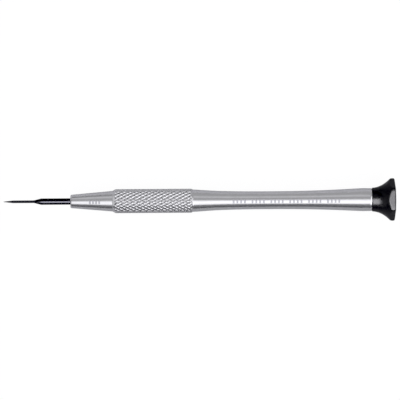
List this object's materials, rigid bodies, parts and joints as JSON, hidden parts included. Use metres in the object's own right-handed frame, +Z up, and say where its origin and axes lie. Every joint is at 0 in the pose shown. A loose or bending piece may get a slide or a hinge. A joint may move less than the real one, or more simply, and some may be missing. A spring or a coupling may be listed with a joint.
{
  "type": "watchmaker screwdriver",
  "caption": "Slim aluminium watchmaker's screwdriver with a knurled grip, a waisted handle, a fine slotted blade and a swivelling six-sided black head.",
  "frame": {"origin": "middle of the blade's edge, on the tool's axis", "axes": "+X along the tool's axis from the blade's edge to the swivel head; +Z is up, away from the clamp screw; two of the head's six flats face +Z and -Z, and the blade's two ground faces face +Y and -Y"},
  "size_m": [0.12, 0.0132, 0.0116],
  "materials": {
    "turned_aluminium": "fine turned, clear anodised",
    "blued_tool_steel": "hardened and blackened",
    "black_screw_steel": "black oxide",
    "zinc_screw_steel": "bright plated",
    "bearing_steel": "ground and polished",
    "cage_brass": "pressed",
    "spring_steel": "phosphated",
    "black_head": "satin black",
    "black_cap": "satin black"
  },
  "bodies": {
    "handle": {"handle_body": "turned_aluminium", "pivot_screw": "zinc_screw_steel", "bearing_spacer": "zinc_screw_steel", "bearing_inner_ring": "bearing_steel"},
    "head": {"swivel_head": "black_head", "head_end_cap": "black_cap", "bearing_outer_ring": "bearing_steel", "bearing_shield_front": "bearing_steel", "bearing_shield_back": "bearing_steel", "bearing_circlip": "spring_steel"},
    "cage": {"bearing_cage": "cage_brass", "bearing_ball_1": "bearing_steel", "bearing_ball_2": "bearing_steel", "bearing_ball_3": "bearing_steel", "bearing_ball_4": "bearing_steel", "bearing_ball_5": "bearing_steel", "bearing_ball_6": "bearing_steel", "bearing_ball_7": "bearing_steel"},
    "blade": {"blade": "blued_tool_steel"},
    "clamp_screw": {"blade_clamp_screw": "black_screw_steel"}
  },
  "joints": [
    {"name": "head_spin", "type": "hinge", "parent": "handle", "child": "head", "pos_m": [0.1156, 0, 0], "axis": [1, 0, 0], "continuous": true},
    {"name": "cage_spin", "type": "hinge", "parent": "handle", "child": "cage", "pos_m": [0.1156, 0, 0], "axis": [1, 0, 0], "continuous": true},
    {"name": "blade_slide", "type": "slide", "parent": "handle", "child": "blade", "axis": [-1, 0, 0], "range_m": [0, 0.014]},
    {"name": "clamp_screw_travel", "type": "slide", "parent": "handle", "child": "clamp_screw", "axis": [0, 0, -1], "range_m": [0, 0.0009]}
  ],
  "couplings": [
    {"joint": "cage_spin", "follows": "head_spin", "ratio": 0.59}
  ]
}
